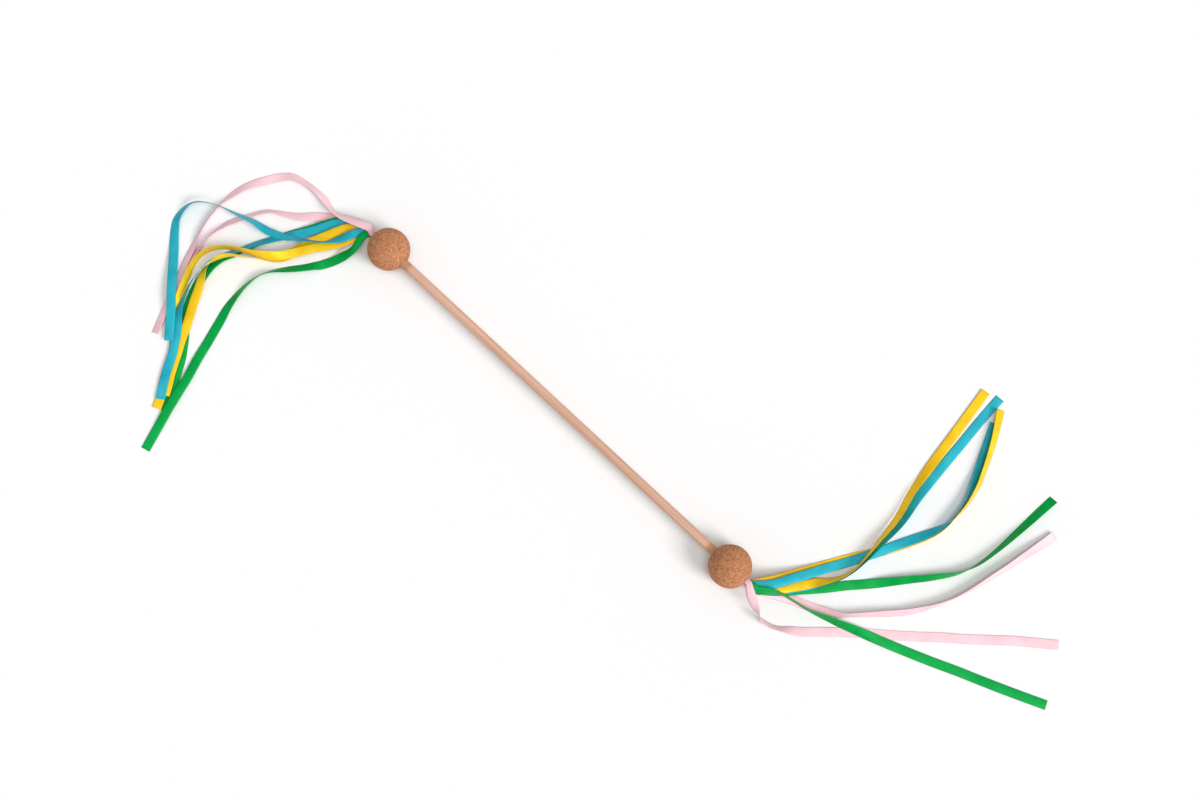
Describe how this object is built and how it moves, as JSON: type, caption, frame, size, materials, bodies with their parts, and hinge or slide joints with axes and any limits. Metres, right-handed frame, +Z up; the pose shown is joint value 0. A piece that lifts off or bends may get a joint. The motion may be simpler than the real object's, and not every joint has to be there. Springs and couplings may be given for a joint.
{
  "type": "cat teaser wand",
  "caption": "Cat teaser wand: a plain wooden dowel with a cork ball on each end and a tassel of satin ribbons out of each ball.",
  "frame": {"origin": "on the table, straight below the middle of the dowel", "axes": "+X along the dowel toward the right ball, +Y across it toward the side that the right ribbons fan to, +Z up"},
  "size_m": [1.0165, 0.6514, 0.045],
  "materials": {
    "wood": "sanded, unvarnished beech",
    "cork": "matte pressed cork",
    "glue": "set white wood glue",
    "pink_satin": "single-faced satin ribbon",
    "turquoise_satin": "single-faced satin ribbon",
    "yellow_satin": "single-faced satin ribbon",
    "green_satin": "single-faced satin ribbon"
  },
  "bodies": {
    "wand": {"dowel": "wood", "left_cork_ball": "cork", "right_cork_ball": "cork", "left_glue_plug": "glue", "right_glue_plug": "glue", "left_ribbon_roots": "pink_satin", "right_ribbon_roots": "pink_satin"},
    "left_pink_1": {"left_pink_ribbon_1": "pink_satin"},
    "left_pink_2": {"left_pink_ribbon_2": "pink_satin"},
    "left_turquoise_1": {"left_turquoise_ribbon_1": "turquoise_satin"},
    "left_turquoise_2": {"left_turquoise_ribbon_2": "turquoise_satin"},
    "left_yellow_1": {"left_yellow_ribbon_1": "yellow_satin"},
    "left_yellow_2": {"left_yellow_ribbon_2": "yellow_satin"},
    "left_green_1": {"left_green_ribbon_1": "green_satin"},
    "left_green_2": {"left_green_ribbon_2": "green_satin"},
    "right_pink_1": {"right_pink_ribbon_1": "pink_satin"},
    "right_pink_2": {"right_pink_ribbon_2": "pink_satin"},
    "right_turquoise_1": {"right_turquoise_ribbon_1": "turquoise_satin"},
    "right_turquoise_2": {"right_turquoise_ribbon_2": "turquoise_satin"},
    "right_yellow_1": {"right_yellow_ribbon_1": "yellow_satin"},
    "right_yellow_2": {"right_yellow_ribbon_2": "yellow_satin"},
    "right_green_1": {"right_green_ribbon_1": "green_satin"},
    "right_green_2": {"right_green_ribbon_2": "green_satin"}
  },
  "joints": [
    {"name": "left_pink_1_lift", "type": "hinge", "parent": "wand", "child": "left_pink_1", "pos_m": [-0.265, 0, 0.026], "axis": [0, 1, 0], "range_deg": [0, 70]},
    {"name": "left_green_1_lift", "type": "hinge", "parent": "wand", "child": "left_green_1", "pos_m": [-0.265, 0, 0.026], "axis": [0, 1, 0], "range_deg": [0, 70]},
    {"name": "left_turquoise_1_lift", "type": "hinge", "parent": "wand", "child": "left_turquoise_1", "pos_m": [-0.265, 0, 0.026], "axis": [0, 1, 0], "range_deg": [0, 70]},
    {"name": "left_yellow_1_lift", "type": "hinge", "parent": "wand", "child": "left_yellow_1", "pos_m": [-0.265, 0, 0.026], "axis": [0, 1, 0], "range_deg": [0, 60]},
    {"name": "left_yellow_2_lift", "type": "hinge", "parent": "wand", "child": "left_yellow_2", "pos_m": [-0.265, 0, 0.026], "axis": [0, 1, 0], "range_deg": [0, 60]},
    {"name": "left_turquoise_2_lift", "type": "hinge", "parent": "wand", "child": "left_turquoise_2", "pos_m": [-0.265, 0, 0.026], "axis": [0, 1, 0], "range_deg": [0, 60]},
    {"name": "left_green_2_lift", "type": "hinge", "parent": "wand", "child": "left_green_2", "pos_m": [-0.265, 0, 0.026], "axis": [0, 1, 0], "range_deg": [0, 50]},
    {"name": "left_pink_2_lift", "type": "hinge", "parent": "wand", "child": "left_pink_2", "pos_m": [-0.265, 0, 0.026], "axis": [0, 1, 0], "range_deg": [0, 42]},
    {"name": "right_pink_2_lift", "type": "hinge", "parent": "wand", "child": "right_pink_2", "pos_m": [0.265, 0, 0.026], "axis": [0, -1, 0], "range_deg": [0, 70]},
    {"name": "right_green_2_lift", "type": "hinge", "parent": "wand", "child": "right_green_2", "pos_m": [0.265, 0, 0.026], "axis": [0, -1, 0], "range_deg": [0, 70]},
    {"name": "right_turquoise_2_lift", "type": "hinge", "parent": "wand", "child": "right_turquoise_2", "pos_m": [0.265, 0, 0.026], "axis": [0, -1, 0], "range_deg": [0, 60]},
    {"name": "right_yellow_2_lift", "type": "hinge", "parent": "wand", "child": "right_yellow_2", "pos_m": [0.265, 0, 0.026], "axis": [0, -1, 0], "range_deg": [0, 60]},
    {"name": "right_yellow_1_lift", "type": "hinge", "parent": "wand", "child": "right_yellow_1", "pos_m": [0.265, 0, 0.026], "axis": [0, -1, 0], "range_deg": [0, 60]},
    {"name": "right_turquoise_1_lift", "type": "hinge", "parent": "wand", "child": "right_turquoise_1", "pos_m": [0.265, 0, 0.026], "axis": [0, -1, 0], "range_deg": [0, 60]},
    {"name": "right_green_1_lift", "type": "hinge", "parent": "wand", "child": "right_green_1", "pos_m": [0.265, 0, 0.026], "axis": [0, -1, 0], "range_deg": [0, 50]},
    {"name": "right_pink_1_lift", "type": "hinge", "parent": "wand", "child": "right_pink_1", "pos_m": [0.265, 0, 0.026], "axis": [0, -1, 0], "range_deg": [0, 39]}
  ],
  "couplings": [
    {"joint": "left_green_1_lift", "follows": "left_pink_1_lift", "ratio": 1},
    {"joint": "left_turquoise_1_lift", "follows": "left_pink_1_lift", "ratio": 1},
    {"joint": "left_yellow_1_lift", "follows": "left_pink_1_lift", "ratio": 0.85},
    {"joint": "left_yellow_2_lift", "follows": "left_pink_1_lift", "ratio": 0.85},
    {"joint": "left_turquoise_2_lift", "follows": "left_pink_1_lift", "ratio": 0.85},
    {"joint": "left_green_2_lift", "follows": "left_pink_1_lift", "ratio": 0.7},
    {"joint": "left_pink_2_lift", "follows": "left_pink_1_lift", "ratio": 0.6},
    {"joint": "right_green_2_lift", "follows": "right_pink_2_lift", "ratio": 1},
    {"joint": "right_turquoise_2_lift", "follows": "right_pink_2_lift", "ratio": 0.85},
    {"joint": "right_yellow_2_lift", "follows": "right_pink_2_lift", "ratio": 0.85},
    {"joint": "right_yellow_1_lift", "follows": "right_pink_2_lift", "ratio": 0.85},
    {"joint": "right_turquoise_1_lift", "follows": "right_pink_2_lift", "ratio": 0.85},
    {"joint": "right_green_1_lift", "follows": "right_pink_2_lift", "ratio": 0.7},
    {"joint": "right_pink_1_lift", "follows": "right_pink_2_lift", "ratio": 0.55}
  ]
}
